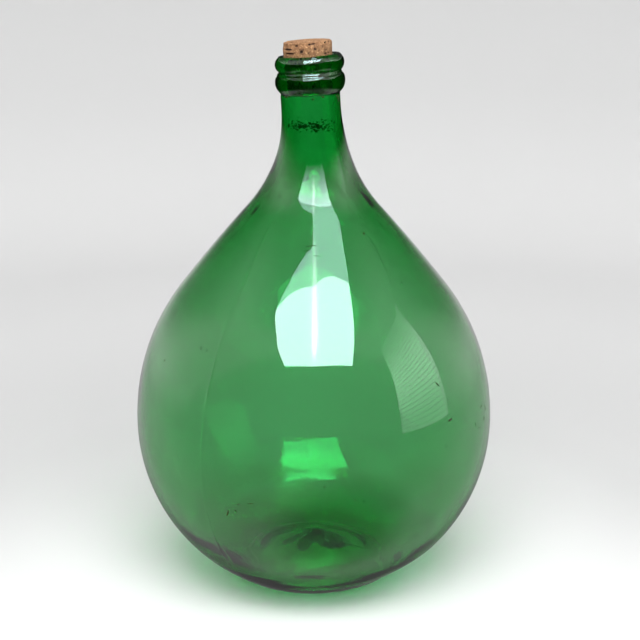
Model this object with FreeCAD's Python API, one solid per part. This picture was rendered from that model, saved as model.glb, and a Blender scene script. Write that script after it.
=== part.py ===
"""Glass carboy (demijohn), nominal 10 litres, with a laid-on double ring at the mouth and a tapered cork.

Frame: millimetres, +Z up, origin on the floor plane at the centre of the standing ring.
The vessel is drawn straight, as one outline turned about Z, and its neck is then bent towards -X,
because the mouth of a hand-finished carboy leans. The cork and both rings follow the leaning mouth.
"""

import FreeCAD
import Part
import math
import os
from FreeCAD import Base, Vector

# Overall
height = 394.0  # floor to the top of the lip, measured along the unbent axis

# Outside of the vessel: a chain of tangent arcs from the standing ring to the neck
ring_inner_radius = 52.0  # worn flat that the vessel stands on
ring_outer_radius = 55.0
heel_radius = 28.0
heel_turn = 32.0  # degrees turned by the heel before the belly takes over
lower_belly_radius = 139.0
upper_belly_radius = 166.0
upper_belly_turn = 38.0
shoulder_radius = 1125.0
shoulder_turn = 4.0

# Underside: a shallow kick-up
kick_angle = 24.0  # steepest slope of the kick-up
kick_fillet_radius = 25.0

# Wall
belly_wall = 4.4
inner_heel_turn = 38.0
floor_wall = 6.0
bore_radius = 16.6  # straight part of the neck, below the cork
bore_bottom = 345.0

# Mouth: tapered seat for the cork, and the two rings of glass laid on round the neck
seat_depth = 24.5
seat_top_radius = 17.5
lip_round = 2.2  # radius of the melted inner edge
neck_outer_radius = 21.5
lip_ring_height = 11.0
lip_ring_radius = 24.7
lip_ring_bulge_drop = 5.3  # from the top of the lip to the widest point
groove_radius = 22.3
ring_feather = 0.4  # the least a ring stands out from the neck, at its top and foot
collar_ring_height = 15.0
collar_ring_radius = 25.3
collar_ring_bulge_drop = 7.5  # from the groove to the widest point

# Neck bend
bend_start = 310.0
bend_end = 345.0
mouth_lean = 3.4  # degrees towards -X
bend_sections = 10

# Mould seams: two raised lines, half a turn apart
seam_height = 0.35
seam_width = 1.3
seam_azimuth = 235.0  # degrees from +X, so one seam shows front left
seam_bottom = 8.0
seam_top = 296.0

# Cork
cork_length = 31.5
cork_inserted = 21.0
cork_clearance = 0.06  # radial gap to the seat
cork_edge = 1.0  # chamfer round both ends

degrees = math.pi / 180
far = 1000.0  # larger than the object, for cutting planes


class Outline:
    """A chain of tangent arcs and lines in the (radius, height) plane. Headings turn left from outward."""

    def __init__(self, radius, z, heading=0.0):
        self.at = (radius, z)
        self.heading = heading
        self.edges = []

    def _point(self, radius, z):
        return Vector(radius, 0, z)

    def arc(self, radius, turn):
        """Turns by that many degrees, left if positive, on an arc of that radius."""
        side = 1 if turn > 0 else -1
        x, z = self.at
        start = self.heading * degrees
        centre = (x - side * radius * math.sin(start), z + side * radius * math.cos(start))

        def on_arc(angle):
            across = side * radius * math.sin(angle)
            up = side * radius * math.cos(angle)
            return centre[0] + across, centre[1] - up

        end = on_arc((self.heading + turn) * degrees)
        middle = on_arc((self.heading + turn / 2) * degrees)
        points = [self._point(*p) for p in (self.at, middle, end)]
        self.edges.append(Part.Arc(*points).toShape())
        self.at = end
        self.heading += turn
        return self

    def line_to(self, radius, z):
        """A straight line, which leaves the heading as it was."""
        start = self._point(*self.at)
        self.edges.append(Part.LineSegment(start, self._point(radius, z)).toShape())
        self.at = (radius, z)
        return self

    def arc_through(self, middle, end):
        points = [self._point(*p) for p in (self.at, middle, end)]
        self.edges.append(Part.Arc(*points).toShape())
        self.at = end
        return self

    def revolved(self):
        """The solid that the closed outline makes about Z."""
        face = Part.Face(Part.Wire(self.edges))
        return face.revolve(Vector(0, 0, 0), Vector(0, 0, 1), 360)


def slope_rise(turn):
    """Height gained per millimetre of radius by an arc that starts level and turns by that many degrees."""
    return 1 - math.cos(turn * degrees)


# Sizes that follow from the driving dimensions
outer_kick_radius = ring_inner_radius / math.sin(kick_angle * degrees) - kick_fillet_radius
kick_rise = (outer_kick_radius + kick_fillet_radius) * slope_rise(kick_angle)
equator_z = heel_radius * slope_rise(heel_turn) + lower_belly_radius * math.cos(heel_turn * degrees)
equator_radius = (
    ring_outer_radius
    + heel_radius * math.sin(heel_turn * degrees)
    + lower_belly_radius * (1 - math.sin(heel_turn * degrees))
)
steepest = upper_belly_turn + shoulder_turn


def add_kick(outline, sweep_radius):
    """From the axis outwards and down the kick-up, to a level heading at the foot of it."""
    return outline.arc(sweep_radius, -kick_angle).arc(kick_fillet_radius, kick_angle)


def add_body(outline, wall):
    """From the end of the heel to the steepest part of the shoulder, inset by the wall."""
    outline.arc(lower_belly_radius - wall, 90 - outline.heading)
    outline.arc(upper_belly_radius - wall, upper_belly_turn)
    return outline.arc(shoulder_radius - wall, shoulder_turn)


def sweep_radius_to(outline, radius):
    """Radius of the hollow arc that brings the outline upright at that radius from the axis."""
    return (outline.at[0] - radius) / slope_rise(steepest)


def add_neck(outline, radius, z):
    """On up the same slope, then a hollow arc that ends upright at that radius and height."""
    turn = steepest * degrees
    across = outline.at[0] - radius
    up = z - outline.at[1]
    run = across * math.sin(turn) / slope_rise(steepest) - up
    sweep_radius = (up * math.sin(turn) - across * math.cos(turn)) / slope_rise(steepest)
    outline.line_to(outline.at[0] - run * math.sin(turn), outline.at[1] + run * math.cos(turn))
    return outline.arc(sweep_radius, -steepest)


def outer_solid():
    outline = add_kick(Outline(0, kick_rise), outer_kick_radius)
    outline.line_to(ring_outer_radius, 0).arc(heel_radius, heel_turn)
    add_body(outline, 0)
    outline.arc(sweep_radius_to(outline, neck_outer_radius), -steepest)
    outline.line_to(neck_outer_radius, height).line_to(0, height).line_to(0, kick_rise)
    return outline.revolved()


def mould_seams():
    """Two raised lines where the halves of the mould met. They reach into the body that they are fused to."""
    outline = Outline(0, -seam_height).line_to(ring_outer_radius, -seam_height)
    outline.arc(heel_radius + seam_height, heel_turn)
    add_body(outline, -seam_height)
    outline.arc(sweep_radius_to(outline, neck_outer_radius + seam_height), -steepest)
    outline.line_to(0, outline.at[1]).line_to(0, -seam_height)
    tall = seam_top - seam_bottom
    strip = Part.makeBox(2 * far, seam_width, tall, Vector(-far, -seam_width / 2, seam_bottom))
    strip.rotate(Vector(0, 0, 0), Vector(0, 0, 1), seam_azimuth)
    return outline.revolved().common(strip)


def inner_floor():
    """Radius where the flat of the inner floor meets the inner heel, and the inner heel's radius."""
    belly = lower_belly_radius - belly_wall
    heel_end_z = equator_z - belly * math.cos(inner_heel_turn * degrees)
    radius = (heel_end_z - floor_wall) / slope_rise(inner_heel_turn)
    sine = math.sin(inner_heel_turn * degrees)
    edge = equator_radius - belly_wall - belly * (1 - sine) - radius * sine
    return edge, radius


def inner_solid():
    floor_edge, inner_heel_radius = inner_floor()
    sweep_radius = floor_edge / math.sin(kick_angle * degrees) - kick_fillet_radius
    rise = (sweep_radius + kick_fillet_radius) * slope_rise(kick_angle)
    outline = add_kick(Outline(0, floor_wall + rise), sweep_radius)
    outline.arc(inner_heel_radius, inner_heel_turn)
    add_body(outline, belly_wall)
    add_neck(outline, bore_radius, bore_bottom)
    outline.line_to(bore_radius, height - seat_depth).line_to(seat_top_radius, height - lip_round)
    outline.arc(lip_round, -90)
    above = height + lip_round
    outline.line_to(outline.at[0], above).line_to(0, above).line_to(0, floor_wall + rise)
    return outline.revolved()


def bent(z):
    """Placement that carries the unbent cross-section at that height to its place on the bent axis."""
    lean = mouth_lean * degrees
    bend_radius = (bend_end - bend_start) / lean
    angle = min(max((z - bend_start) / bend_radius, 0), lean)
    past = max(z - bend_end, 0)
    x = -bend_radius * (1 - math.cos(angle)) - past * math.sin(angle)
    up = min(z, bend_start) + bend_radius * math.sin(angle) + past * math.cos(angle)
    tilt = FreeCAD.Rotation(Vector(0, 1, 0), -angle / degrees)
    return Base.Placement(Vector(x, 0, up), tilt) * Base.Placement(Vector(0, 0, -z), FreeCAD.Rotation())


def slab(low, high):
    """Everything between two heights."""
    return Part.makeBox(2 * far, 2 * far, high - low, Vector(-far, -far, low))


def placed(shape, placement):
    moved = shape.copy()
    moved.transformShape(placement.toMatrix(), True)
    return moved


def bend_section(radius_of):
    """The stretch of a turned solid between the two ends of the bend, lofted through its cross-sections."""
    wires = []
    for i in range(bend_sections + 1):
        z = bend_start + (bend_end - bend_start) * i / bend_sections
        circle = Part.makeCircle(radius_of(z), Vector(0, 0, z), Vector(0, 0, 1))
        wires.append(placed(Part.Wire(circle), bent(z)))
    return Part.makeLoft(wires, True, False)


def radius_reader(solid):
    """The turned solid's outside radius at a height, read from a slice."""

    def radius_of(z):
        (ring,) = solid.slice(Vector(0, 0, 1), z)
        return ring.BoundBox.XLength / 2

    return radius_of


def with_bent_neck(solid):
    lower = solid.common(slab(-far, bend_start))
    upper = placed(solid.common(slab(bend_end, far)), bent(bend_end))
    middle = bend_section(radius_reader(solid))
    return lower.fuse([middle, upper]).removeSplitter()


def glass_body():
    outside = with_bent_neck(outer_solid()).fuse(mould_seams())
    inside = with_bent_neck(inner_solid())
    return outside.cut(inside)


def laid_on_ring(top, tall, groove_top, groove_bottom, widest, drop):
    """A ring of glass round the neck: straight inside, bulging outside."""
    outline = Outline(neck_outer_radius, top - tall)
    outline.line_to(groove_bottom, top - tall)
    outline.arc_through((widest, top - drop), (groove_top, top))
    outline.line_to(neck_outer_radius, top).line_to(neck_outer_radius, top - tall)
    return placed(outline.revolved(), bent(height))


def lip_ring():
    edge = neck_outer_radius + ring_feather
    return laid_on_ring(height, lip_ring_height, edge, groove_radius, lip_ring_radius, lip_ring_bulge_drop)


def collar_ring():
    top = height - lip_ring_height
    edge = neck_outer_radius + ring_feather
    return laid_on_ring(top, collar_ring_height, groove_radius, edge, collar_ring_radius, collar_ring_bulge_drop)


def cork_stopper():
    bottom = height - cork_inserted
    top = bottom + cork_length
    taper = (seat_top_radius - bore_radius) / (seat_depth - lip_round)

    def cork_radius(z):
        return bore_radius - cork_clearance + taper * (z - (height - seat_depth))

    outline = Outline(0, bottom)
    outline.line_to(cork_radius(bottom) - cork_edge, bottom)
    outline.line_to(cork_radius(bottom + cork_edge), bottom + cork_edge)
    outline.line_to(cork_radius(top - cork_edge), top - cork_edge)
    outline.line_to(cork_radius(top) - cork_edge, top)
    outline.line_to(0, top).line_to(0, bottom)
    return placed(outline.revolved(), bent(height))


nodes = {
    "glass_body": glass_body,
    "lip_ring": lip_ring,
    "collar_ring": collar_ring,
    "cork_stopper": cork_stopper,
}

os.makedirs("parts", exist_ok=True)
for name, make in nodes.items():
    shape = make()
    shape.exportStep(f"parts/{name}.step")
    litres = shape.Volume / 1e6
    print(f"{name}: {len(shape.Solids)} solid, valid {shape.isValid()}, {litres:.3f} l")
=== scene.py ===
"""Looks of the glass carboy. Every length is in metres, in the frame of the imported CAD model: +Z up, origin
at the centre of the standing ring, mouth leaning towards -X, front towards -Y.

The three glass nodes are one melt on the real object, so one closed shell of glass stands for them here. It
is drawn with the same arcs as the CAD outline, and has the unevenness of hand-finished glass.
"""

import math
import random

import bpy
import numpy as np
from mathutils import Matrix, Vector, noise


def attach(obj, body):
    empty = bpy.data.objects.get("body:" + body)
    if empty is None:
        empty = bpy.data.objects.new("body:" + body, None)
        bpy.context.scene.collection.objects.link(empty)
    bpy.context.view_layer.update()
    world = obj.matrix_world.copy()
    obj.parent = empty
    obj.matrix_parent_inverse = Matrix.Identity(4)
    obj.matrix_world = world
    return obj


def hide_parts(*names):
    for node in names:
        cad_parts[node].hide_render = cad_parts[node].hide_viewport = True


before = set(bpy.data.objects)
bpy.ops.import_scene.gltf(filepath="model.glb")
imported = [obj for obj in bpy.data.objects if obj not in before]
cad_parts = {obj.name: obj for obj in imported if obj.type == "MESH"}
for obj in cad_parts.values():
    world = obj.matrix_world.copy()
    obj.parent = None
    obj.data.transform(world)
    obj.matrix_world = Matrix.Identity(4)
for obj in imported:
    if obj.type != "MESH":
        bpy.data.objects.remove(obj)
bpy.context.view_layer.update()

MM = 0.001

# Sizes of the vessel, as in the CAD outline
HEIGHT = 394.0 * MM
RING_INNER, RING_OUTER = 52.0 * MM, 55.0 * MM
HEEL_RADIUS, HEEL_TURN = 28.0 * MM, 32.0
LOWER_BELLY_RADIUS = 139.0 * MM
UPPER_BELLY_RADIUS, UPPER_BELLY_TURN = 166.0 * MM, 38.0
SHOULDER_RADIUS, SHOULDER_TURN = 1125.0 * MM, 4.0
STEEPEST = UPPER_BELLY_TURN + SHOULDER_TURN
KICK_ANGLE, KICK_FILLET = 24.0, 25.0 * MM
WALL = 4.4 * MM
FLOOR_WALL = 6.0 * MM
INNER_HEEL_TURN = 38.0
BORE_RADIUS, BORE_BOTTOM = 16.6 * MM, 345.0 * MM
NECK_RADIUS = 21.5 * MM
SEAT_DEPTH, SEAT_TOP_RADIUS, LIP_ROUND = 24.5 * MM, 17.5 * MM, 2.2 * MM
LIP_RING_HEIGHT, LIP_RING_RADIUS, LIP_BULGE_DROP = 11.0 * MM, 24.7 * MM, 5.3 * MM
COLLAR_HEIGHT, COLLAR_RADIUS, COLLAR_BULGE_DROP = 15.0 * MM, 25.3 * MM, 7.5 * MM
GROOVE_RADIUS, RING_FEATHER = 22.3 * MM, 0.4 * MM
BEND_START, BEND_END, MOUTH_LEAN = 310.0 * MM, 345.0 * MM, math.radians(3.4)
SEAM_HEIGHT, SEAM_WIDTH = 0.35 * MM, 1.3 * MM
SEAM_AZIMUTHS = (math.radians(235), math.radians(55))
SEAM_BOTTOM, SEAM_TOP = 8.0 * MM, 296.0 * MM

# Cork
CORK_LENGTH, CORK_IN_NECK = 31.5 * MM, 21.0 * MM
CORK_FOOT_RADIUS, CORK_TOP_RADIUS = 16.66 * MM, 17.93 * MM
CORK_EDGE = 1.0 * MM


def smoothstep(low, high, value):
    share = min(max((value - low) / (high - low), 0), 1)
    return share * share * (3 - 2 * share)


class Outline:
    """A chain of tangent arcs and lines in the (radius, height) plane, kept as points. Headings are in
    degrees and turn left from outward."""

    def __init__(self, radius, z, step):
        self.points = [(radius, z)]
        self.heading = 0.0
        self.step = step

    def arc(self, radius, turn):
        side = 1 if turn > 0 else -1
        x, z = self.points[-1]
        start = math.radians(self.heading)
        centre = (x - side * radius * math.sin(start), z + side * radius * math.cos(start))
        count = max(2, math.ceil(abs(math.radians(turn)) * radius / self.step))
        for i in range(1, count + 1):
            angle = math.radians(self.heading + turn * i / count)
            self.points.append((centre[0] + side * radius * math.sin(angle),
                                centre[1] - side * radius * math.cos(angle)))
        self.heading += turn
        return self

    def line_to(self, radius, z):
        x0, z0 = self.points[-1]
        count = max(1, math.ceil(math.hypot(radius - x0, z - z0) / self.step))
        for i in range(1, count + 1):
            self.points.append((x0 + (radius - x0) * i / count, z0 + (z - z0) * i / count))
        return self

    def bulge_to(self, widest, end):
        """An arc through the widest point to the end."""
        (x1, z1), (x2, z2), (x3, z3) = self.points[-1], widest, end
        d = 2 * (x1 * (z2 - z3) + x2 * (z3 - z1) + x3 * (z1 - z2))
        s1, s2, s3 = x1 * x1 + z1 * z1, x2 * x2 + z2 * z2, x3 * x3 + z3 * z3
        cx = (s1 * (z2 - z3) + s2 * (z3 - z1) + s3 * (z1 - z2)) / d
        cz = (s1 * (x3 - x2) + s2 * (x1 - x3) + s3 * (x2 - x1)) / d
        radius = math.hypot(x1 - cx, z1 - cz)
        first, last = math.atan2(z1 - cz, x1 - cx), math.atan2(z3 - cz, x3 - cx)
        count = max(4, math.ceil(abs(last - first) * radius / self.step))
        for i in range(1, count + 1):
            angle = first + (last - first) * i / count
            self.points.append((cx + radius * math.cos(angle), cz + radius * math.sin(angle)))
        return self


def slope_rise(turn):
    return 1 - math.cos(math.radians(turn))


KICK_RADIUS = RING_INNER / math.sin(math.radians(KICK_ANGLE)) - KICK_FILLET
KICK_RISE = (KICK_RADIUS + KICK_FILLET) * slope_rise(KICK_ANGLE)
EQUATOR_Z = HEEL_RADIUS * slope_rise(HEEL_TURN) + LOWER_BELLY_RADIUS * math.cos(math.radians(HEEL_TURN))
EQUATOR_RADIUS = (RING_OUTER + HEEL_RADIUS * math.sin(math.radians(HEEL_TURN))
                  + LOWER_BELLY_RADIUS * (1 - math.sin(math.radians(HEEL_TURN))))
BELLY_STEP, RING_STEP, LIP_STEP = 3.0 * MM, 0.6 * MM, 0.3 * MM


def belly(outline, wall):
    outline.arc(LOWER_BELLY_RADIUS - wall, 90 - outline.heading)
    outline.arc(UPPER_BELLY_RADIUS - wall, UPPER_BELLY_TURN)
    return outline.arc(SHOULDER_RADIUS - wall, SHOULDER_TURN)


def outer_outline():
    """From the centre of the underside to the outer edge of the lip, rings included."""
    outline = Outline(0, KICK_RISE, BELLY_STEP)
    outline.arc(KICK_RADIUS, -KICK_ANGLE).arc(KICK_FILLET, KICK_ANGLE)
    outline.line_to(RING_OUTER, 0).arc(HEEL_RADIUS, HEEL_TURN)
    belly(outline, 0)
    outline.step = 2 * MM
    outline.arc((outline.points[-1][0] - NECK_RADIUS) / slope_rise(STEEPEST), -STEEPEST)
    groove_z = HEIGHT - LIP_RING_HEIGHT
    collar_foot = groove_z - COLLAR_HEIGHT
    outline.line_to(NECK_RADIUS, collar_foot - RING_FEATHER)
    outline.step = RING_STEP
    outline.line_to(NECK_RADIUS + RING_FEATHER, collar_foot)
    outline.bulge_to((COLLAR_RADIUS, groove_z - COLLAR_BULGE_DROP), (GROOVE_RADIUS, groove_z))
    outline.bulge_to((LIP_RING_RADIUS, HEIGHT - LIP_BULGE_DROP), (NECK_RADIUS + RING_FEATHER, HEIGHT))
    return outline


def inner_outline():
    """From the centre of the inner floor to the inner edge of the lip."""
    wide = LOWER_BELLY_RADIUS - WALL
    sine = math.sin(math.radians(INNER_HEEL_TURN))
    heel_end_z = EQUATOR_Z - wide * math.cos(math.radians(INNER_HEEL_TURN))
    heel = (heel_end_z - FLOOR_WALL) / slope_rise(INNER_HEEL_TURN)
    edge = EQUATOR_RADIUS - WALL - wide * (1 - sine) - heel * sine
    sweep = edge / math.sin(math.radians(KICK_ANGLE)) - KICK_FILLET
    rise = (sweep + KICK_FILLET) * slope_rise(KICK_ANGLE)
    outline = Outline(0, FLOOR_WALL + rise, BELLY_STEP)
    outline.arc(sweep, -KICK_ANGLE).arc(KICK_FILLET, KICK_ANGLE).arc(heel, INNER_HEEL_TURN)
    belly(outline, WALL)
    outline.step = 2 * MM
    turn = math.radians(STEEPEST)
    x, z = outline.points[-1]
    across, up = x - BORE_RADIUS, BORE_BOTTOM - z
    run = across * math.sin(turn) / slope_rise(STEEPEST) - up
    outline.line_to(x - run * math.sin(turn), z + run * math.cos(turn))
    outline.arc((up * math.sin(turn) - across * math.cos(turn)) / slope_rise(STEEPEST), -STEEPEST)
    outline.line_to(BORE_RADIUS, HEIGHT - SEAT_DEPTH).line_to(SEAT_TOP_RADIUS, HEIGHT - LIP_ROUND)
    outline.step = LIP_STEP
    return outline.arc(LIP_ROUND, -90)


def bent(points):
    """Carries points from the unbent vessel to the vessel with its leaning neck."""
    moved = np.array(points, float)
    z = moved[:, 2].copy()
    bend = (BEND_END - BEND_START) / MOUTH_LEAN
    angle = np.clip((z - BEND_START) / bend, 0, MOUTH_LEAN)
    past = np.maximum(z - BEND_END, 0)
    x = moved[:, 0].copy()
    moved[:, 0] = x * np.cos(angle) - bend * (1 - np.cos(angle)) - past * np.sin(angle)
    moved[:, 2] = x * np.sin(angle) + np.minimum(z, BEND_START) + bend * np.sin(angle) + past * np.cos(angle)
    return moved


def new_object(name, points, faces, smooth=True):
    mesh = bpy.data.meshes.new(name)
    mesh.from_pydata([tuple(p) for p in points], [], faces)
    mesh.update()
    made = bpy.data.objects.new(name, mesh)
    bpy.context.scene.collection.objects.link(made)
    mesh.polygons.foreach_set("use_smooth", [smooth] * len(mesh.polygons))
    return made


def turned_faces(rows, columns):
    """Faces of a closed turned surface: a point, rows of columns points each, and a point."""
    faces = []
    for j in range(columns):
        faces.append((0, 1 + (j + 1) % columns, 1 + j))
    for i in range(rows - 1):
        low, high = 1 + i * columns, 1 + (i + 1) * columns
        for j in range(columns):
            k = (j + 1) % columns
            faces.append((low + j, low + k, high + k, high + j))
    last, top = 1 + (rows - 1) * columns, 1 + rows * columns
    for j in range(columns):
        faces.append((last + j, last + (j + 1) % columns, top))
    return faces


# The glass shell

COLUMNS = 240
STILL_RADIUS = 20 * MM  # the waves die out towards the axis inside this
SEAM_OFFSETS = (0.15, 0.3, 0.5, 0.75, 1.1)  # degrees either side of a mould seam where the mesh is finer
SEAM_CLEARANCE = 1.4  # degrees either side of a seam that the even columns leave free

# Mould seams, softer here than the CAD's plain ridge, and the heights over which they fade in and out
SEAM_RISE, SEAM_SPREAD = 0.6 * SEAM_HEIGHT, 0.7 * SEAM_WIDTH
SEAM_FADE_IN, SEAM_FADE_OUT = 12 * MM, 30 * MM

# Waves of the outer surface: how high and how long they are
OUTER_WAVES, OUTER_RIPPLES = (0.16 * MM, 75 * MM), (0.05 * MM, 22 * MM)
OUTER_FOOT_WAVES = (0.45 * MM, 45 * MM)
# Heights over which the foot's waves die out
OUTER_FOOT, INNER_FOOT = (10 * MM, 70 * MM), (15 * MM, 75 * MM)
STANDING_RING_TOP = 6 * MM  # the waves die out below this, so that the ring stays flat on the table
# A flattened place low on the front right: its middle, how far it reaches, and its depth
FLAT_AZIMUTH, FLAT_SPREAD = math.radians(310), 0.55
FLAT_Z, FLAT_TALL, FLAT_DEPTH = 12 * MM, 16 * MM, 1.6 * MM

# Waves of the inner surface. Those that flow are longer round the vessel than up it
INNER_WAVES, INNER_FOOT_WAVES = (0.45 * MM, 85 * MM), (1.1 * MM, 38 * MM)
INNER_FLOW = (1.5 * MM, 50 * MM, 20 * MM)
BELLY_THINNING, BELLY_FROM, BELLY_TO = 0.35 * MM, (30 * MM, 70 * MM), (240 * MM, 290 * MM)
ROLL_HEIGHT, ROLL_LUMPS, ROLL_TALL, ROLL_Z, ROLL_REACH = 0.9 * MM, 1.7, 6.5 * MM, 20 * MM, 15 * MM
STREAK_HEIGHT, STREAK_WIDE, STREAK_LONG = 0.5 * MM, 8 * MM, 120 * MM
NECK_FROM, NECK_TO = (250 * MM, 300 * MM), (340 * MM, 350 * MM)
FLARE_THINNING, FLARE_Z, FLARE_REACH = 1.8 * MM, 321 * MM, 20 * MM
SEAT_FADE = (45 * MM, 38 * MM)  # below the lip, where the inner surface comes back to its true outline

# The two rings: drops below the lip between which each one's unevenness sets in
RINGS_FROM, LIP_RING_FROM = (28 * MM, 25 * MM), (13 * MM, 9 * MM)
RING_THROW, LIP_RING_THROW = 0.45, 0.25  # mm that the rings stand out further towards +X
RING_SWELL, SWELL_LUMPS, SWELL_TALL = 0.55 * MM, 1.6, 12 * MM
RING_GRAIN, GRAIN_LUMPS, GRAIN_TALL = 0.12 * MM, 1.2, 1.1 * MM
# The crease in the lower ring: its drop below the lip, how it wanders, its width, and its depth in mm
CREASE_DROP, CREASE_WANDER, CREASE_WIDTH = 13.2 * MM, 0.5 * MM, 1.0 * MM
CREASE_DEPTH, CREASE_DEPTH_SPREAD = 0.5, 0.25


def azimuths():
    """Angles of the mesh's columns, with more of them at the two mould seams."""
    angles = {round(360 / COLUMNS * i, 4) for i in range(COLUMNS)}
    for seam in SEAM_AZIMUTHS:
        centre = math.degrees(seam)
        angles = {a for a in angles if abs(a - centre) > SEAM_CLEARANCE}
        angles |= {round(centre, 4)}
        angles |= {round(centre + side * off, 4) for off in SEAM_OFFSETS for side in (-1, 1)}
    return [math.radians(a) for a in sorted(angles)]


def seam_ridge(azimuth, radius, z):
    """Height of the mould seams above the outer surface."""
    fade = smoothstep(SEAM_BOTTOM, SEAM_BOTTOM + SEAM_FADE_IN, z)
    fade *= 1 - smoothstep(SEAM_TOP - SEAM_FADE_OUT, SEAM_TOP, z)
    if fade == 0:
        return 0.0
    rise = 0.0
    for seam in SEAM_AZIMUTHS:
        away = abs((azimuth - seam + math.pi) % (2 * math.pi) - math.pi) * radius
        rise += SEAM_RISE * math.exp(-((away / SEAM_SPREAD) ** 2))
    return rise * fade


def bell(value, middle, reach):
    """1 at the middle, falling smoothly to 0 on either side."""
    return math.exp(-(((value - middle) / reach) ** 2))


def waves(place, height, length, start=(0, 0, 0)):
    """Smooth noise of that height, its waves about as long as the length."""
    return height * noise.noise(place / length + Vector(start))


def round_noise(azimuth, lumps, z):
    """Noise that meets itself round the axis. More lumps make more swellings in a turn."""
    return noise.noise(Vector((lumps * math.cos(azimuth), lumps * math.sin(azimuth), z)))


def outer_unevenness(azimuth, radius, z):
    """How far the outer surface stands out from its true outline."""
    place = Vector((radius * math.cos(azimuth), radius * math.sin(azimuth), z))
    foot = 1 - smoothstep(*OUTER_FOOT, z)
    out = waves(place, *OUTER_WAVES) + waves(place, *OUTER_RIPPLES)
    out += foot * waves(place, *OUTER_FOOT_WAVES, start=(3.1, 0, 0))
    out -= FLAT_DEPTH * bell(azimuth, FLAT_AZIMUTH, FLAT_SPREAD) * bell(z, FLAT_Z, FLAT_TALL)
    out *= smoothstep(0, STANDING_RING_TOP, z)
    return out + seam_ridge(azimuth, radius, z) + ring_shape(azimuth, z)


def ring_shape(azimuth, z):
    """The two rings are one trail of glass, laid on by hand: it stands out further towards +X, its lower turn
    has a crease near its top, and it swells and thins round the neck."""
    ring = smoothstep(HEIGHT - RINGS_FROM[0], HEIGHT - RINGS_FROM[1], z)
    if ring == 0:
        return 0.0
    lip = smoothstep(HEIGHT - LIP_RING_FROM[0], HEIGHT - LIP_RING_FROM[1], z)
    out = (RING_THROW + LIP_RING_THROW * lip) * math.cos(azimuth) * MM
    out += RING_SWELL * round_noise(azimuth, SWELL_LUMPS, z / SWELL_TALL)
    crease = HEIGHT - CREASE_DROP + CREASE_WANDER * round_noise(azimuth, 1.3, 4.2)
    depth = CREASE_DEPTH + CREASE_DEPTH_SPREAD * round_noise(azimuth, 2.1, 8.8)
    out -= depth * MM * bell(z, crease, CREASE_WIDTH)
    out += RING_GRAIN * noise.noise(Vector((azimuth * GRAIN_LUMPS, azimuth * GRAIN_LUMPS, z / GRAIN_TALL)))
    return ring * out


def inner_unevenness(azimuth, radius, z):
    """How far the inner surface stands into the hollow from its true outline."""
    place = Vector((radius * math.cos(azimuth), radius * math.sin(azimuth), z))
    out = waves(place, *INNER_WAVES, start=(7.7, 0, 0))
    foot = 1 - smoothstep(*INNER_FOOT, z)
    height, wide, tall = INNER_FLOW
    flow = height * noise.noise(Vector((place.x / wide, place.y / wide, place.z / tall)))
    out += foot * (waves(place, *INNER_FOOT_WAVES, start=(0, 5.3, 0)) + flow)
    out -= BELLY_THINNING * smoothstep(*BELLY_FROM, z) * (1 - smoothstep(*BELLY_TO, z))
    out += ROLL_HEIGHT * round_noise(azimuth, ROLL_LUMPS, z / ROLL_TALL) * bell(z, ROLL_Z, ROLL_REACH)
    neck = smoothstep(*NECK_FROM, z) * (1 - smoothstep(*NECK_TO, z))
    streaks = Vector((place.x / STREAK_WIDE, place.y / STREAK_WIDE, z / STREAK_LONG))
    out += neck * STREAK_HEIGHT * noise.noise(streaks)
    out -= FLARE_THINNING * bell(z, FLARE_Z, FLARE_REACH)
    return out * (1 - smoothstep(HEIGHT - SEAT_FADE[0], HEIGHT - SEAT_FADE[1], z))


PONTIL_RISE, PONTIL_RADIUS = (3.0 * MM, 6.5 * MM), (12 * MM, 15 * MM)  # outer surface, inner surface
PONTIL_X, PONTIL_Y, PONTIL_TOP = 2 * MM, -1 * MM, 40 * MM
PONTIL_RAGGED, PONTIL_GRAIN = 0.35, 9 * MM  # share by which its height varies, and how coarsely


def pontil(x, y, z, inner):
    """The rough dome that the iron left in the middle of the kick-up, a little off centre."""
    if z > PONTIL_TOP:
        return 0.0
    away = math.hypot(x - PONTIL_X, y - PONTIL_Y)
    ragged = 1 + PONTIL_RAGGED * noise.noise(Vector((x / PONTIL_GRAIN, y / PONTIL_GRAIN, 0.5 * inner)))
    return PONTIL_RISE[inner] * ragged * math.exp(-((away / PONTIL_RADIUS[inner]) ** 2))


SEED_COUNT, SEED_SIZES, SEED_STRETCH = 70, (0.35 * MM, 0.95 * MM), (1.0, 2.2)
SEED_Z = (14, 300)  # mm
SEED_ROWS, SEED_COLUMNS, SEED_FLATNESS = 5, 8, 0.5
MARKS_SEED = 11  # starts the random draws


def surface_at(outline, z):
    """Radius and outward direction (r, z) of an outline of the vessel's side at a height."""
    for (r0, z0), (r1, z1) in zip(outline, outline[1:]):
        if z0 <= z <= z1 and z1 > z0:
            length = math.hypot(r1 - r0, z1 - z0)
            share = (z - z0) / (z1 - z0)
            return r0 + (r1 - r0) * share, (z1 - z0) / length, -(r1 - r0) / length
    raise ValueError("no side at that height")


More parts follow.
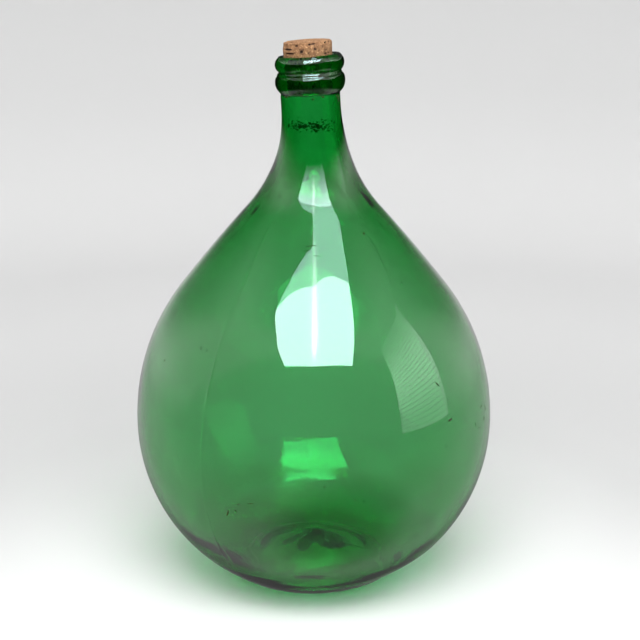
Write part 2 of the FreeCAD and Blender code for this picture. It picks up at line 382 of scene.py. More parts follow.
def add_seeds(points, faces, outer):
    """Seeds: small bubbles in the wall, drawn out upwards by the blowing. Their faces look inwards."""
    chance = random.Random(MARKS_SEED)
    side = outer[next(i for i, (r, _) in enumerate(outer) if r > RING_OUTER):]
    for _ in range(SEED_COUNT):
        azimuth, z = chance.uniform(0, 2 * math.pi), chance.uniform(*SEED_Z) * MM
        size = chance.uniform(*SEED_SIZES) * chance.uniform(0.6, 1.0)
        r, out_r, out_z = surface_at(side, z)
        r, z = r - out_r * WALL / 2, z - out_z * WALL / 2
        first = len(points)
        stretch = chance.uniform(*SEED_STRETCH)
        for i in range(SEED_ROWS + 2):
            polar = math.pi * i / (SEED_ROWS + 1)
            at_pole = i in (0, SEED_ROWS + 1)
            for j in range(1 if at_pole else SEED_COLUMNS):
                turn = 2 * math.pi * j / SEED_COLUMNS
                rr = r + size * math.sin(polar) * math.cos(turn) * SEED_FLATNESS
                sideways = size * math.sin(polar) * math.sin(turn)
                points.append((rr * math.cos(azimuth) - sideways * math.sin(azimuth),
                               rr * math.sin(azimuth) + sideways * math.cos(azimuth),
                               z - size * stretch * math.cos(polar)))
        faces += [tuple(first + k for k in reversed(face)) for face in turned_faces(SEED_ROWS, SEED_COLUMNS)]


def glass_shell():
    """The vessel with its rings: up the outside, over the lip and down the inside, with seeds in the wall."""
    outer, inner = outer_outline().points, inner_outline().points
    lip = Outline(*outer[-1], RING_STEP).line_to(*inner[-1]).points[1:-1]
    chain = outer + lip + inner[::-1]
    kinds = [outer_unevenness] * len(outer) + [None] * len(lip) + [inner_unevenness] * len(inner)
    angles = azimuths()
    points = [(0, 0, chain[0][1] + pontil(0, 0, chain[0][1], False))]
    for i in range(1, len(chain) - 1):
        (r0, z0), (r, z), (r1, z1) = chain[i - 1:i + 2]
        length = math.hypot(r1 - r0, z1 - z0)
        out_r, out_z = (z1 - z0) / length, -(r1 - r0) / length
        near_axis = smoothstep(0, STILL_RADIUS, r)
        for a in angles:
            push = near_axis * kinds[i](a, r, z) if kinds[i] else 0.0
            rr = r + out_r * push
            x, y, up = rr * math.cos(a), rr * math.sin(a), z + out_z * push
            points.append((x, y, up + pontil(x, y, up, kinds[i] is inner_unevenness)))
    points.append((0, 0, chain[-1][1] + pontil(0, 0, chain[-1][1], True)))
    faces = turned_faces(len(chain) - 2, len(angles))
    add_seeds(points, faces, outer)
    made = new_object("glass_shell", bent(points), faces)
    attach(made, "vessel")
    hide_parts("glass_body", "lip_ring", "collar_ring")
    return made


# Marks on the vessel: azimuth in degrees, height, width, tallness in mm, and turn in degrees

MARKS = [(307, 274, 2, 2, 0), (313, 177, 1.2, 7, 40), (316, 151, 6.5, 1.8, 12),  # right of the reflection
         (243, 92, 1.4, 7, -20), (246, 95, 1, 4, 30), (251, 103, 8, 0.7, 8),  # low on the left
         (247, 101, 4, 0.7, 14),
         (269, 269, 12, 0.5, 6), (266, 266, 8, 0.4, 3), (272, 263, 7, 0.4, -6),  # scratches on the shoulder
         (210, 185, 3, 0.9, 60), (273, 119, 1.5, 1.5, 0), (282, 108, 1.3, 1.4, 0), (264, 88, 1.5, 1.1, 0),
         (336, 147, 5.5, 0.7, 10), (340, 143, 0.8, 5.5, 12), (338, 136, 0.8, 6, -20),  # outline of a stain
         (333, 133, 6, 0.7, 0), (330, 138, 0.7, 5, 8),
         (213, 365.5, 3.4, 1.8, 10), (222, 366.5, 2.2, 1.2, 0), (246, 367.3, 6, 1.1, 0),  # under the ring
         (238, 367, 2, 1.1, 20), (269, 365, 1.8, 1.3, 0), (289, 366.4, 3.4, 1.1, -8), (334, 364, 2.4, 7, 6),
         (326, 366.3, 2.5, 1.7, 0)]
MARK_THICKNESS, RESIDUE_THICKNESS = 0.25, 0.15  # mm

# Dried wine in the neck: number of flakes, heights and sizes in mm, middle and spread in degrees, and the share
# of flakes that lie near that middle
RESIDUE_COUNT, RESIDUE_Z, RESIDUE_SIZES = 190, (340.5, 350.0), (0.8, 2.6)
RESIDUE_TURN, RESIDUE_SHARE = (262, 34), 0.75

FLAKE_CORNERS, FLAKE_BACK, FLAKE_RIM = 12, 0.02 * MM, 0.05 * MM
OUTSIDE = 0.3  # radius that is clear of the vessel, from which rays look for its surface


def flake(points, faces, centre, out, wide, tall, thick, turn, chance):
    """A small ragged crust on a surface whose outward direction is out."""
    side = Vector((-out.y, out.x, 0)).normalized()
    up = out.cross(side)
    first = len(points)
    points += [centre + out * thick, centre + out * FLAKE_BACK]
    for i in range(FLAKE_CORNERS):
        around, reach = 2 * math.pi * i / FLAKE_CORNERS, chance.uniform(0.6, 1.0) / 2
        a, b = wide * reach * math.cos(around), tall * reach * math.sin(around)
        points.append(centre + side * (a * math.cos(turn) - b * math.sin(turn))
                      + up * (a * math.sin(turn) + b * math.cos(turn)) + out * FLAKE_RIM)
        here, after = first + 2 + i, first + 2 + (i + 1) % FLAKE_CORNERS
        faces += [(first, here, after), (first + 1, after, here)]


def crusts(name, surface, places, body):
    """One piece made of flakes; places are rays that hit the surface, with each flake's sizes."""
    chance = random.Random(MARKS_SEED)
    bpy.context.view_layer.update()
    points, faces = [], []
    for start, way, wide, tall, thick, turn in places:
        hit, where, out, _ = surface.ray_cast(start, way)
        if hit:
            flake(points, faces, where, out, wide * MM, tall * MM, thick * MM, math.radians(turn), chance)
    made = new_object(name, points, faces)
    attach(made, body)
    return made


def marks(shell):
    """Flecks and scratches on the outside, and dried wine inside the neck."""
    outside = []
    for azimuth, z, wide, tall, turn in MARKS:
        way = Vector((math.cos(math.radians(azimuth)), math.sin(math.radians(azimuth)), 0))
        outside.append((way * OUTSIDE + Vector((0, 0, z * MM)), -way, wide, tall, MARK_THICKNESS, turn))
    chance = random.Random(MARKS_SEED + 1)
    inside = []
    for _ in range(RESIDUE_COUNT):
        gathered = chance.random() < RESIDUE_SHARE
        azimuth = math.radians(chance.gauss(*RESIDUE_TURN)) if gathered else chance.uniform(0, 6.28)
        way = Vector((math.cos(azimuth), math.sin(azimuth), 0))
        size = chance.uniform(*RESIDUE_SIZES)
        z = chance.triangular(*RESIDUE_Z, sum(RESIDUE_Z) / 2)
        inside.append((Vector((-1 * MM, 0, z * MM)), way, size, size * chance.uniform(0.4, 0.9),
                       RESIDUE_THICKNESS, chance.uniform(-40, 40)))
    return [crusts("flecks_and_scratches", shell, outside, "vessel"),
            crusts("residue_in_neck", shell, inside, "vessel")]


def crumb_on_cork(cork):
    """A dark crumb stuck on the cork's top end, found by a ray from above."""
    start = Vector((8 * MM, -12 * MM, 0.5))
    return crusts("crumb_on_cork", cork, [(start, Vector((0, 0, -1)), 1.8, 1.6, 1.7, 0)], "cork")


# The cork

CORK_COLUMNS, CORK_STEP = 200, 0.45 * MM
WORN_SIDE = math.radians(215)  # the side where the top edge has crumbled most
# Holes in the cork: azimuth in degrees, height above the lip, width, height and depth in mm
CORK_HOLES = [(276, 8.7, 1.5, 1.4, 1.6), (243, 8.1, 2.6, 1.3, 0.9), (256, 3.8, 2.2, 2.0, 0.9),
              (287, 5.4, 1.4, 2.2, 0.6), (284, 9.0, 3.8, 1.1, 0.8), (316, 1.3, 1.8, 1.2, 1.0),
              (328, 1.6, 1.5, 1.2, 0.9), (222, 2.6, 8.0, 0.9, 1.8), (216, 5.4, 7.5, 1.1, 1.5),
              (298, 4.0, 0.9, 3.4, 0.4), (308, 6.5, 1.1, 3.0, 0.4), (20, 6.0, 2.4, 1.4, 1.2),
              (75, 3.0, 1.6, 2.4, 0.8), (120, 7.0, 3.0, 1.2, 1.2), (165, 4.0, 1.4, 1.8, 1.0)]
HOLE_REACH = 2.2  # half widths past which a hole no longer counts
SMALL_HOLES, CORK_SEED = 230, 11  # further holes, at random


def cork_wear(azimuth, side, up):
    """How far the cork's surface is worn away at a place on its side, side being its arc length there."""
    worn = 0.5 + 0.5 * math.cos(azimuth - WORN_SIDE)
    place = Vector((side * math.cos(azimuth), side * math.sin(azimuth), up))
    grains = noise.noise(place / 0.0014) * 0.5 + 0.5
    lumps = noise.noise(place / 0.0045 + Vector((0, 0, 9.1))) * 0.5 + 0.5
    edge = CORK_LENGTH - CORK_IN_NECK
    reach = (2.4 + 4.2 * worn ** 3 + 2.0 * (lumps - 0.5)) * MM
    crumbled = smoothstep(edge - reach, edge - 0.35 * reach, up)
    wear = crumbled * (0.1 + 0.55 * grains + (0.3 + 0.9 * worn ** 3) * lumps) * MM
    fibres = noise.noise(Vector((azimuth * 26, azimuth * 3, up / 0.009)))
    wear += (0.06 + 0.08 * fibres + 0.05 * grains) * MM * smoothstep(-2 * MM, 1 * MM, up)
    return wear


def cork_holes(azimuth, radius, up, holes):
    """How deep the holes are at a place on the cork's side."""
    depth = 0.0
    for turn, rise, wide, tall, deep in holes:
        away = (math.degrees(azimuth) - turn + 180) % 360 - 180
        across = away * math.pi / 180 * radius / (wide / 2 * MM)
        along = (up - rise * MM) / (tall / 2 * MM)
        if abs(across) < HOLE_REACH and abs(along) < HOLE_REACH:
            ragged = 1 + 0.5 * noise.noise(Vector((across * 1.7 + turn, along * 1.7, rise)))
            depth = max(depth, deep * MM * math.exp(-((across * across + along * along) / ragged) ** 1.5))
    return depth


def cork_piece():
    """The cork, worn inwards from its true taper, so it stays clear of the neck. The mesh is made upright at
    the lip and then bent with the neck, which puts it at the CAD cork's place."""
    random.seed(CORK_SEED)
    holes = CORK_HOLES + [(random.uniform(0, 360), random.uniform(-20, 10), random.uniform(0.4, 1.3),
                           random.uniform(0.5, 1.8), random.uniform(0.25, 0.7)) for _ in range(SMALL_HOLES)]
    bottom, top = -CORK_IN_NECK, CORK_LENGTH - CORK_IN_NECK
    side_rows = round(CORK_LENGTH / CORK_STEP)
    end_rows = round(CORK_FOOT_RADIUS / (0.7 * MM))
    rows = [(CORK_FOOT_RADIUS * (i + 1) / end_rows, bottom, "foot") for i in range(end_rows - 1)]
    for i in range(side_rows + 1):
        share = i / side_rows
        rows.append((CORK_FOOT_RADIUS + (CORK_TOP_RADIUS - CORK_FOOT_RADIUS) * share,
                     bottom + CORK_LENGTH * share, "side"))
    rows += [(CORK_TOP_RADIUS * (1 - (i + 1) / end_rows), top, "top") for i in range(end_rows - 1)]
    # dark holds each point's painted shade: the deeper its hole or pit, the darker
    points, dark = [(0, 0, HEIGHT + bottom)], [0.0]
    for radius, up, part in rows:
        for j in range(CORK_COLUMNS):
            azimuth = 2 * math.pi * j / CORK_COLUMNS
            place = Vector((radius * math.cos(azimuth), radius * math.sin(azimuth), 0))
            if part == "side":
                hole = cork_holes(azimuth, radius, up, holes)
                wear = cork_wear(azimuth, radius, up)
                corner = min(up - bottom, top - up) / CORK_EDGE
                rounding = CORK_EDGE * (1 - math.sqrt(1 - (1 - corner) ** 2)) if corner < 1 else 0.0
                r, z = radius - wear - hole - rounding, up
                if up > top - 4 * MM:
                    z -= wear * 0.5 * smoothstep(top - 4 * MM, top, up)
                # painted shade, darker in deeper holes
                shade = hole / (0.8 * MM)
            else:
                crumb = noise.noise(place / 0.0016) * 0.5 + 0.5
                rim = smoothstep(radius_of_end(part) - 4 * MM, radius_of_end(part), radius)
                pit = max(0.0, noise.noise(place / 0.0032 + Vector((4, 4, 0))) - 0.32) * 2.2
                dip = (0.12 * crumb + pit + rim * (0.35 * crumb + 0.1)) * MM
                worn = 0.5 + 0.5 * math.cos(azimuth - WORN_SIDE)
                dip += rim * 0.9 * worn ** 3 * MM if part == "top" else 0.0
                r = radius * (1 - (CORK_EDGE + 0.5 * MM) / radius_of_end(part))
                z = up - dip if part == "top" else up + dip
                # painted shade in the pits of the ends
                shade = pit * 1.4
            points.append((r * math.cos(azimuth), r * math.sin(azimuth), HEIGHT + z))
            dark.append(min(1.0, shade))
    points.append((0, 0, HEIGHT + top - 0.1 * MM))
    dark.append(0.0)
    made = new_object("cork", bent(points), turned_faces(len(rows), CORK_COLUMNS))
    hollow_shade_attribute = made.data.attributes.new("hollow", "FLOAT", "POINT")
    hollow_shade_attribute.data.foreach_set("value", dark)
    made.data.materials.append(cork_material())
    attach(made, "cork")
    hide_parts("cork_stopper")
    return made


def radius_of_end(part):
    return CORK_TOP_RADIUS if part == "top" else CORK_FOOT_RADIUS


# Materials

def new_material(name):
    material = bpy.data.materials.new(name)
    material.use_nodes = True
    tree = material.node_tree
    shader = tree.nodes["Principled BSDF"]
    return material, tree, shader


def add_node(tree, kind, **inputs):
    made = tree.nodes.new(kind)
    for key, value in inputs.items():
        made.inputs[key.replace("_", " ")].default_value = value
    return made


def glass_material():
    material, tree, shader = new_material("bottle_green_glass")
    shader.inputs["Base Color"].default_value = (1, 1, 1, 1)
    shader.inputs["Transmission Weight"].default_value = 1.0
    shader.inputs["IOR"].default_value = 1.52
    shader.inputs["Roughness"].default_value = 0.0
    absorb = add_node(tree, "ShaderNodeVolumeAbsorption", Color=(0.0, 0.74, 0.33, 1), Density=480.0)
    tree.links.new(absorb.outputs["Volume"], tree.nodes["Material Output"].inputs["Volume"])
    return material


def ramp_node(tree, stops, source):
    """A colour ramp fed by a socket; stops are (position, colour)."""
    made = tree.nodes.new("ShaderNodeValToRGB")
    bar = made.color_ramp.elements
    while len(bar) < len(stops):
        bar.new(0.5)
    for stop, (position, colour) in zip(bar, stops):
        stop.position = position
        stop.color = (*colour, 1)
    tree.links.new(source, made.inputs["Fac"])
    return made


def noise_node(tree, scale, detail=4.0, stretch=(1, 1, 1), roughness=0.6):
    """Noise in the piece's own space; scale is waves per metre."""
    place = tree.nodes.new("ShaderNodeTexCoord")
    mapping = tree.nodes.new("ShaderNodeMapping")
    mapping.inputs["Scale"].default_value = stretch
    tree.links.new(place.outputs["Object"], mapping.inputs["Vector"])
    made = add_node(tree, "ShaderNodeTexNoise", Scale=scale, Detail=detail, Roughness=roughness)
    tree.links.new(mapping.outputs["Vector"], made.inputs["Vector"])
    return made


def mix_node(tree, factor, first, second, blend="MIX"):
    """Mixes two colours; each is a socket or a plain colour, and the factor a socket or a number."""
    made = tree.nodes.new("ShaderNodeMix")
    made.data_type = "RGBA"
    made.blend_type = blend
    for name, value in (("Factor", factor), ("A", first), ("B", second)):
        sockets = [x for x in made.inputs if x.name == name and x.enabled]
        if isinstance(value, bpy.types.NodeSocket):
            tree.links.new(value, sockets[0])
        else:
            sockets[0].default_value = value if name == "Factor" else (*value, 1)
    return [x for x in made.outputs if x.enabled][0]


def bump_node(tree, height, distance, strength=1.0):
    made = add_node(tree, "ShaderNodeBump", Strength=strength, Distance=distance)
    tree.links.new(height, made.inputs["Height"])
    return made


def cork_material():
    """Tan cork: soft blotches, upright growth streaks, pale grains and brown pores, with painted shade in its
    holes and pits.
    """
    material, tree, shader = new_material("natural_cork")
    blotches = ramp_node(tree, [(0.3, (0.19, 0.088, 0.038)), (0.5, (0.27, 0.135, 0.062)),
                                (0.7, (0.36, 0.19, 0.088))], noise_node(tree, 160).outputs["Fac"])
    streaks = ramp_node(tree, [(0.42, (0.5, 0.42, 0.38)), (0.58, (1, 1, 1))],
                        noise_node(tree, 520, stretch=(1, 1, 0.16)).outputs["Fac"])
    colour = mix_node(tree, 0.45, blotches.outputs["Color"], streaks.outputs["Color"], "MULTIPLY")
    grain = ramp_node(tree, [(0.56, (0, 0, 0)), (0.68, (1, 1, 1))], noise_node(tree, 900, 2.0).outputs["Fac"])
    colour = mix_node(tree, grain.outputs["Color"], colour, (0.52, 0.3, 0.14))
    pores = ramp_node(tree, [(0.3, (1, 1, 1)), (0.38, (0, 0, 0))],
                      noise_node(tree, 620, 3.0, (1, 1, 0.6)).outputs["Fac"])
    colour = mix_node(tree, pores.outputs["Color"], colour, (0.07, 0.028, 0.012))
    # the hollow attribute is painted shade, darkening the cork in its holes and pits
    hollow = tree.nodes.new("ShaderNodeAttribute")
    hollow.attribute_name = "hollow"
    depth = ramp_node(tree, [(0.12, (0, 0, 0)), (0.6, (1, 1, 1))], hollow.outputs["Fac"])
    colour = mix_node(tree, depth.outputs["Color"], colour, (0.03, 0.012, 0.006))
    tree.links.new(colour, shader.inputs["Base Color"])
    shader.inputs["Roughness"].default_value = 0.92
    shader.inputs["Specular IOR Level"].default_value = 0.25
    fine = bump_node(tree, noise_node(tree, 1400, 3.0).outputs["Fac"], 0.00025, 0.7)
    tree.links.new(fine.outputs["Normal"], shader.inputs["Normal"])
    return material


def crust_material():
    """Dried dirt: brown and near black, matt."""
    material, tree, shader = new_material("dried_dirt")
    tones = ramp_node(tree, [(0.35, (0.012, 0.012, 0.007)), (0.65, (0.075, 0.042, 0.02))],
                      noise_node(tree, 900).outputs["Fac"])
    tree.links.new(tones.outputs["Color"], shader.inputs["Base Color"])
    shader.inputs["Roughness"].default_value = 0.85
    shader.inputs["Specular IOR Level"].default_value = 0.2
    rough = bump_node(tree, noise_node(tree, 2400, 3.0).outputs["Fac"], 0.0002, 0.6)
    tree.links.new(rough.outputs["Normal"], shader.inputs["Normal"])
    return material


def painted_shade_paper():
    """Studio paper with painted shade: palest round the carboy, greyer behind it, and dark towards the front of
    the room.
    """
    material, tree, shader = new_material("studio_paper_painted_shade")
    place = tree.nodes.new("ShaderNodeTexCoord")
    split = tree.nodes.new("ShaderNodeSeparateXYZ")
    tree.links.new(place.outputs["Object"], split.inputs[0])
    away = tree.nodes.new("ShaderNodeVectorMath")
    away.operation = "LENGTH"
    tree.links.new(place.outputs["Object"], away.inputs[0])

    def shaded(source, low, high):
        made = add_node(tree, "ShaderNodeMapRange", From_Min=low, From_Max=high)
        made.interpolation_type = "SMOOTHSTEP"
        tree.links.new(source, made.inputs["Value"])
        return made.outputs["Result"]

    distance, depth, height = away.outputs["Value"], split.outputs["Y"], split.outputs["Z"]
    # painted shade: greys mixed by distance, height and place along Y
    floor = mix_node(tree, shaded(distance, *FRONT_REACH), TABLE_SHADE, FRONT_SHADE)
    behind = mix_node(tree, shaded(distance, *BACK_REACH), TABLE_SHADE, BACK_SHADE)
    behind = mix_node(tree, shaded(distance, *SWEEP_REACH), behind, SWEEP_SHADE)
    behind = mix_node(tree, shaded(height, *WALL_REACH), behind, BACK_SHADE)
    tree.links.new(mix_node(tree, shaded(depth, *BEHIND_FROM), floor, behind), shader.inputs["Base Color"])
    shader.inputs["Roughness"].default_value = 0.95
    shader.inputs["Specular IOR Level"].default_value = 0.1
    return material


# Studio: one sheet of paper that lies flat as a table, then sweeps up into a wall all round. It is hidden
# from reflections, which show the panels and the world instead.

SWEEP_START, SWEEP_RADIUS, WALL_TOP = 1.0, 0.45, 1.1
# The paper's greys are painted shade, standing in for the light falling off across the studio
TABLE_SHADE, BACK_SHADE, SWEEP_SHADE, FRONT_SHADE = (0.84,) * 3, (0.6,) * 3, (0.66,) * 3, (0.42,) * 3
# Where each shade takes over: distances from the origin, heights, and places along Y
FRONT_REACH, BACK_REACH, SWEEP_REACH = (0.6, 1.1), (0.05, 0.35), (0.4, 0.75)
WALL_REACH, BEHIND_FROM = (0.02, 0.25), (-0.3, 0.15)
SHEET_STEP, SHEET_COLUMNS = 0.05, 96


def round_sheet(name, rows, material, columns=SHEET_COLUMNS):
    """A sheet of revolution through rows of (radius, z), the first of them on the axis."""
    points = [(0, 0, rows[0][1])]
    for r, z in rows[1:]:
        points += [(r * math.cos(2 * math.pi * j / columns), r * math.sin(2 * math.pi * j / columns), z)
                   for j in range(columns)]
    made = new_object(name, points, turned_faces(len(rows) - 1, columns)[:-columns])
    made.data.materials.append(material)
    made.visible_glossy = False


def studio():
    """The paper of the table, the sweep and the wall."""
    outline = Outline(0, 0, SHEET_STEP)
    outline.line_to(SWEEP_START, 0).arc(SWEEP_RADIUS, 90)
    outline.line_to(outline.points[-1][0], WALL_TOP)
    round_sheet("table_and_sweep", outline.points, painted_shade_paper())


def area_light(name, place, aim, width, tall, watts):
    """A soft light that reflections don't show."""
    data = bpy.data.lights.new(name, "AREA")
    data.shape = "RECTANGLE"
    data.size, data.size_y = width, tall
    data.energy = watts
    light = bpy.data.objects.new(name, data)
    light.location = place
    light.rotation_euler = (Vector(aim) - Vector(place)).to_track_quat("-Z", "Y").to_euler()
    bpy.context.scene.collection.objects.link(light)
    light.visible_glossy = False


def glow_material(name, colour, strength):
    material = bpy.data.materials.new(name)
    material.use_nodes = True
    tree = material.node_tree
    tree.nodes.remove(tree.nodes["Principled BSDF"])
    emit = add_node(tree, "ShaderNodeEmission", Color=(*colour, 1), Strength=strength)
    tree.links.new(emit.outputs[0], tree.nodes["Material Output"].inputs["Surface"])
    return material


def panel(name, corners, colour, strength):
    """A flat light of that outline. It shows in reflections and through the glass. It is hidden from the
    camera, and matt surfaces take no light from it: the area lights do that."""
    made = new_object(name, corners, [tuple(range(len(corners)))], smooth=False)
    made.data.materials.append(glow_material(name, colour, strength))
    made.visible_camera = False
    made.visible_diffuse = False
    return made


WINDOW_Z = 1.2
BRIGHT_COLOUR, BRIGHT_GLOW = (0.76, 0.96, 1.0), 19.0
DULL_COLOUR, DULL_GLOW = (0.72, 0.95, 1.0), 7.5
GAP_GLOW, GAP_BELOW = 17.0, 0.01  # the gap hangs that far below the panes
BRIGHT_PANE = [(-0.50, -0.53), (0.0, -0.55), (0.50, -0.43), (0.51, -0.55), (0.62, -0.92), (0.75, -1.40),
               (0.0, -1.475), (-0.56, -1.43), (-0.575, -1.0), (-0.52, -0.72)]
DULL_PANE = [(0.50, -0.43), (0.0, -0.55), (-0.50, -0.53), (-0.28, -0.47), (-0.12, -0.44), (-0.01, -0.42),
             (-0.01, -0.12), (0.48, -0.12)]
GAP_X, GAP_WIDTH, GAP_Y = 0.006, 0.15, (-1.42, -0.30)
GAP_IN_BLIND = [(GAP_X - GAP_WIDTH, GAP_Y[1]), (GAP_X + GAP_WIDTH, GAP_Y[1]), (GAP_X + GAP_WIDTH, GAP_Y[0]),
                (GAP_X - GAP_WIDTH, GAP_Y[0])]
SIDE_X, SIDE_Y, SIDE_Z, SIDE_SLATS = 1.15, (-0.85, -0.03), (0.06, 1.19), 26
SIDE_COLOUR, SLAT_SHARE = (0.92, 1.0, 0.96), 0.85  # share of the pitch that glows
SLAT_GLOW, SLAT_GLOW_RISE = 2.6, 2.6  # at the window's ends, and how much more in its middle


def window():
    """The window overhead in front, with a dull pane behind a blind and a bright gap in the blind."""
    def at(height, outline):
        return [(x, y, height) for x, y in outline]

    panel("bright_pane", at(WINDOW_Z, BRIGHT_PANE), BRIGHT_COLOUR, BRIGHT_GLOW)
    panel("dull_pane", at(WINDOW_Z, DULL_PANE), DULL_COLOUR, DULL_GLOW)
    gap = panel("gap_in_blind", at(WINDOW_Z - GAP_BELOW, GAP_IN_BLIND), (1, 1, 1), GAP_GLOW)
    soften_gap(gap.data.materials[0])


def soften_gap(material):
    """Makes the gap's light fade out to both sides and towards its ends, over what is behind it."""
    tree = material.node_tree
    emit = tree.nodes["Emission"]
    place = tree.nodes.new("ShaderNodeTexCoord")
    split = tree.nodes.new("ShaderNodeSeparateXYZ")
    tree.links.new(place.outputs["Object"], split.inputs[0])

    def fade(axis, middle, reach):
        """1 in the middle, 0 at reach on either side."""
        off = tree.nodes.new("ShaderNodeMath")
        off.operation = "SUBTRACT"
        off.inputs[1].default_value = middle
        tree.links.new(split.outputs[axis], off.inputs[0])
        size = tree.nodes.new("ShaderNodeMath")
        size.operation = "ABSOLUTE"
        tree.links.new(off.outputs[0], size.inputs[0])
        made = add_node(tree, "ShaderNodeMapRange", From_Max=reach, To_Min=1.0, To_Max=0.0)
        made.interpolation_type = "SMOOTHSTEP"
        tree.links.new(size.outputs[0], made.inputs["Value"])
        return made.outputs["Result"]

    def times(first, second):
        made = tree.nodes.new("ShaderNodeMath")
        made.operation = "MULTIPLY"
        for socket, value in zip(made.inputs, (first, second)):
            if isinstance(value, bpy.types.NodeSocket):
                tree.links.new(value, socket)
            else:
                socket.default_value = value
        return made.outputs[0]

    wide, core = fade("X", GAP_X, GAP_WIDTH), fade("X", GAP_X, GAP_WIDTH / 3)
    glow = tree.nodes.new("ShaderNodeMath")
    glow.operation = "ADD"
    tree.links.new(times(times(wide, wide), 0.3), glow.inputs[0])
    tree.links.new(core, glow.inputs[1])
    ends = fade("Y", sum(GAP_Y) / 2, (GAP_Y[1] - GAP_Y[0]) / 2)
    strength = times(times(glow.outputs[0], ends), emit.inputs["Strength"].default_value)
    tree.links.new(strength, emit.inputs["Strength"])
    clear = tree.nodes.new("ShaderNodeBsdfTransparent")
    both = tree.nodes.new("ShaderNodeAddShader")
    tree.links.new(emit.outputs[0], both.inputs[0])
    tree.links.new(clear.outputs[0], both.inputs[1])
    tree.links.new(both.outputs[0], tree.nodes["Material Output"].inputs["Surface"])


def side_window():
    """A slatted window beside the table, which shows in reflections and through the glass."""
    tall = (SIDE_Z[1] - SIDE_Z[0]) / SIDE_SLATS
    for i in range(SIDE_SLATS):
        low = SIDE_Z[0] + i * tall
        high = low + tall * SLAT_SHARE
        glow = SLAT_GLOW + SLAT_GLOW_RISE * math.sin(math.pi * (i + 0.5) / SIDE_SLATS) ** 2
        corners = [(SIDE_X, SIDE_Y[0], low), (SIDE_X, SIDE_Y[1], low), (SIDE_X, SIDE_Y[1], high),
                   (SIDE_X, SIDE_Y[0], high)]
        slat = panel(f"side_slat_{i + 1}", corners, SIDE_COLOUR, glow)
        slat.visible_shadow = False


# Greys of the room by how much a ray goes one way: upwards and back, downwards and back, straight up, and
# towards a dark shape low in front
ROOM_GREYS = [(-1.0, 1.1), (-0.45, 1.15), (-0.1, 1.25), (0.05, 1.7), (0.5, 1.8), (0.62, 1.6), (0.75, 1.1),
              (0.86, 0.62), (0.95, 0.35), (1.02, 0.16), (1.2, 0.1)]
FLOOR_GREYS = [(-0.5, 1.05), (0.6, 1.1), (0.85, 0.85), (1.1, 0.7), (1.2, 0.55), (1.3, 0.28), (1.4, 0.12)]
CEILING_GREYS = [(0.72, 1.0), (0.86, 0.5), (1.0, 0.4)]
SHAPE_GREYS = [(0.78, 1.0), (0.95, 0.35)]
UP_AND_BACK, DOWN_AND_BACK, UP, SHAPE_WAY = (0, 1, 1), (0, 1, -1), (0, 0, 1), (0.22, -0.5, -0.84)
HORIZON = (-0.15, 0.05)  # between these the floor's greys give way to the walls'

# Card round the neck
SLEEVE_RADIUS, SLEEVE_LOW, SLEEVE_SOFT, SLEEVE_TOP = 62 * MM, 324 * MM, 342 * MM, 402 * MM
SLEEVE_COLUMNS, SLEEVE_ROWS = 64, 8


def neck_shade():
    """A black card rolled round the neck, which only reflections show: it keeps the window out of the neck's
    sides. It thins out towards its lower edge."""
    turns = [2 * math.pi * j / SLEEVE_COLUMNS for j in range(SLEEVE_COLUMNS)]
    heights = [SLEEVE_LOW + (SLEEVE_TOP - SLEEVE_LOW) * i / SLEEVE_ROWS for i in range(SLEEVE_ROWS + 1)]
    points = [(SLEEVE_RADIUS * math.cos(turn), SLEEVE_RADIUS * math.sin(turn), z)
              for z in heights for turn in turns]
    faces = []
    for i in range(SLEEVE_ROWS):
        low, high = i * SLEEVE_COLUMNS, (i + 1) * SLEEVE_COLUMNS
        for j in range(SLEEVE_COLUMNS):
            k = (j + 1) % SLEEVE_COLUMNS
            faces.append((low + j, low + k, high + k, high + j))
    made = new_object("neck_shade", points, faces)
    material, tree, shader = new_material("black_card")
    shader.inputs["Base Color"].default_value = (0.01, 0.02, 0.01, 1)
    shader.inputs["Specular IOR Level"].default_value = 0.0
    place = tree.nodes.new("ShaderNodeTexCoord")
    split = tree.nodes.new("ShaderNodeSeparateXYZ")
    solid = add_node(tree, "ShaderNodeMapRange", From_Min=SLEEVE_LOW, From_Max=SLEEVE_SOFT)
    solid.interpolation_type = "SMOOTHSTEP"
    tree.links.new(place.outputs["Object"], split.inputs[0])
    tree.links.new(split.outputs["Z"], solid.inputs["Value"])
    tree.links.new(solid.outputs["Result"], shader.inputs["Alpha"])
    made.data.materials.append(material)
    made.visible_camera = made.visible_diffuse = made.visible_transmission = made.visible_shadow = False


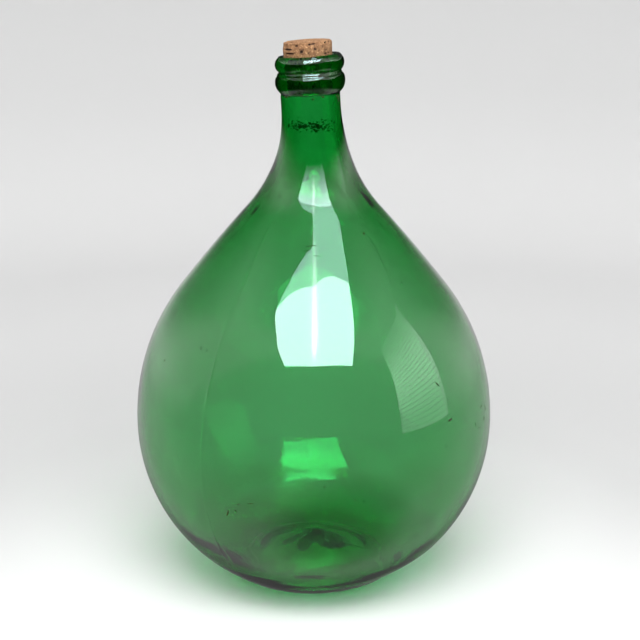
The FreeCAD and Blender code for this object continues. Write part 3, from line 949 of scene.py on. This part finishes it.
def room():
    """What reflections show in the place of the paper: a wall that is dim behind and lighter towards the
    front, a floor, a darker ceiling straight overhead, and a dark shape low in front."""
    world = bpy.data.worlds.new("room")
    world.use_nodes = True
    tree = world.node_tree
    place = tree.nodes.new("ShaderNodeTexCoord")

    def along(direction):
        """How much of the ray lies along that direction."""
        made = tree.nodes.new("ShaderNodeVectorMath")
        made.operation = "DOT_PRODUCT"
        made.inputs[1].default_value = direction
        tree.links.new(place.outputs["Generated"], made.inputs[0])
        return made.outputs["Value"]

    def ramp(source, stops, low=-1.5, high=1.5):
        """Greys for a source value, given as (value, grey)."""
        share = add_node(tree, "ShaderNodeMapRange", From_Min=low, From_Max=high)
        tree.links.new(source, share.inputs["Value"])
        stops = [((value - low) / (high - low), (grey,) * 3) for value, grey in stops]
        return ramp_node(tree, stops, share.outputs["Result"]).outputs["Color"]

    walls = ramp(along(UP_AND_BACK), ROOM_GREYS)
    floor = ramp(along(DOWN_AND_BACK), FLOOR_GREYS)
    upward = add_node(tree, "ShaderNodeMapRange", From_Min=HORIZON[0], From_Max=HORIZON[1])
    tree.links.new(along(UP), upward.inputs["Value"])
    walls = mix_node(tree, upward.outputs["Result"], floor, walls)
    ceiling = ramp(along(UP), CEILING_GREYS)
    shape = ramp(along(Vector(SHAPE_WAY).normalized()), SHAPE_GREYS)
    greys = mix_node(tree, 1.0, walls, ceiling, "MULTIPLY")
    greys = mix_node(tree, 1.0, greys, shape, "MULTIPLY")
    tree.links.new(greys, tree.nodes["Background"].inputs["Color"])
    bpy.context.scene.world = world


# Lamps: name, place, what it is aimed at, width and length in metres, and watts. The third is inside the
# vessel, for the light that the glass gathers on the table
LAMPS = [("window_light", (0.05, -0.95, WINDOW_Z), (0.05, -0.951, 0), 1.1, 1.0, 33),
         ("overhead", (0, 0.1, 2.2), (0, 0.1, 0), 1.5, 1.5, 9),
         ("light_gathered_by_vessel", (0, 0.01, 0.08), (0, 0.01, 0), 0.07, 0.07, 0.09),
         ("wall_light", (0, 0.45, 1.7), (0, 1.4, 0.35), 1.8, 0.5, 3.2)]


def lights():
    window()
    side_window()
    neck_shade()
    room()
    for lamp in LAMPS:
        area_light(*lamp)


CAMERA_PLACE, CAMERA_DOWN, CAMERA_TURN = (0, -0.9457, 0.4733), math.radians(16.3), -0.005  # turn in radians
CAMERA_LENS, CAMERA_SENSOR = 73.24, 36  # mm


def camera():
    data = bpy.data.cameras.new("camera")
    data.lens = CAMERA_LENS
    data.sensor_width = CAMERA_SENSOR
    made = bpy.data.objects.new("camera", data)
    made.location = CAMERA_PLACE
    made.rotation_euler = (math.pi / 2 - CAMERA_DOWN, 0, CAMERA_TURN)
    bpy.context.scene.collection.objects.link(made)
    bpy.context.scene.camera = made


shell = glass_shell()
shell.data.materials.append(glass_material())
cork = cork_piece()
dirt = crust_material()
for piece in marks(shell) + [crumb_on_cork(cork)]:
    piece.data.materials.append(dirt)
studio()
lights()
camera()

bpy.context.scene.view_settings.view_transform = "Standard"
bpy.context.scene.cycles.max_bounces = 32
bpy.context.scene.cycles.transmission_bounces = 32
bpy.context.scene.cycles.glossy_bounces = 8
bpy.context.scene.cycles.diffuse_bounces = 4
